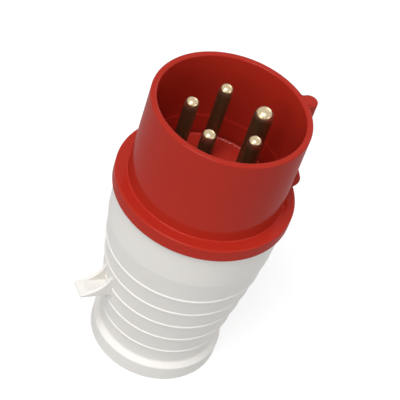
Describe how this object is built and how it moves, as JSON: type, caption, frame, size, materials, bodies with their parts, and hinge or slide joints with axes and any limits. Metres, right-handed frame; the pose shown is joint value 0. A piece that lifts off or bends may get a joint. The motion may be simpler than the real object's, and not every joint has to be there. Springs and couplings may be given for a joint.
{
  "type": "industrial pin and sleeve plug",
  "caption": "Industrial pin and sleeve plug: round keyed shroud round plated contact pins, flanged collar and a ribbed tapered grip with a catch wing and flared tail.",
  "frame": {"origin": "centre of the cable entry in the tail face", "axes": "+Z along the plug's axis towards the pins; the key and earth pin lie towards -Y, the catch wing towards +Y"},
  "size_m": [0.0656, 0.071, 0.12],
  "materials": {
    "red_polyamide": "satin moulded",
    "grey_polyamide": "fine moulded satin",
    "black_rubber": "matt moulded",
    "nickel_brass": "nickel plated, polished",
    "zinc_steel": "zinc plated"
  },
  "bodies": {
    "rear_housing": {"housing": "grey_polyamide", "cable_bush": "black_rubber"},
    "front_unit": {"collar": "red_polyamide", "joint_seal": "black_rubber", "contact_carrier": "red_polyamide", "carrier_cover": "grey_polyamide", "carrier_ring": "zinc_steel", "cover_screw": "zinc_steel", "pin_earth": "nickel_brass", "pin_l1": "nickel_brass", "pin_l2": "nickel_brass", "pin_l3": "nickel_brass", "pin_neutral": "nickel_brass", "screw_earth": "zinc_steel", "screw_l1": "zinc_steel", "screw_l2": "zinc_steel", "screw_l3": "zinc_steel", "screw_neutral": "zinc_steel", "clamp_saddle": "grey_polyamide", "clamp_screw_left": "zinc_steel", "clamp_screw_right": "zinc_steel", "clamp_nut_left": "zinc_steel", "clamp_nut_right": "zinc_steel"}
  },
  "joints": [
    {"name": "housing_turn", "type": "hinge", "parent": "rear_housing", "child": "front_unit", "pos_m": [0, 0, 0.0785], "axis": [0, 0, 1], "range_deg": [0, 25]}
  ]
}
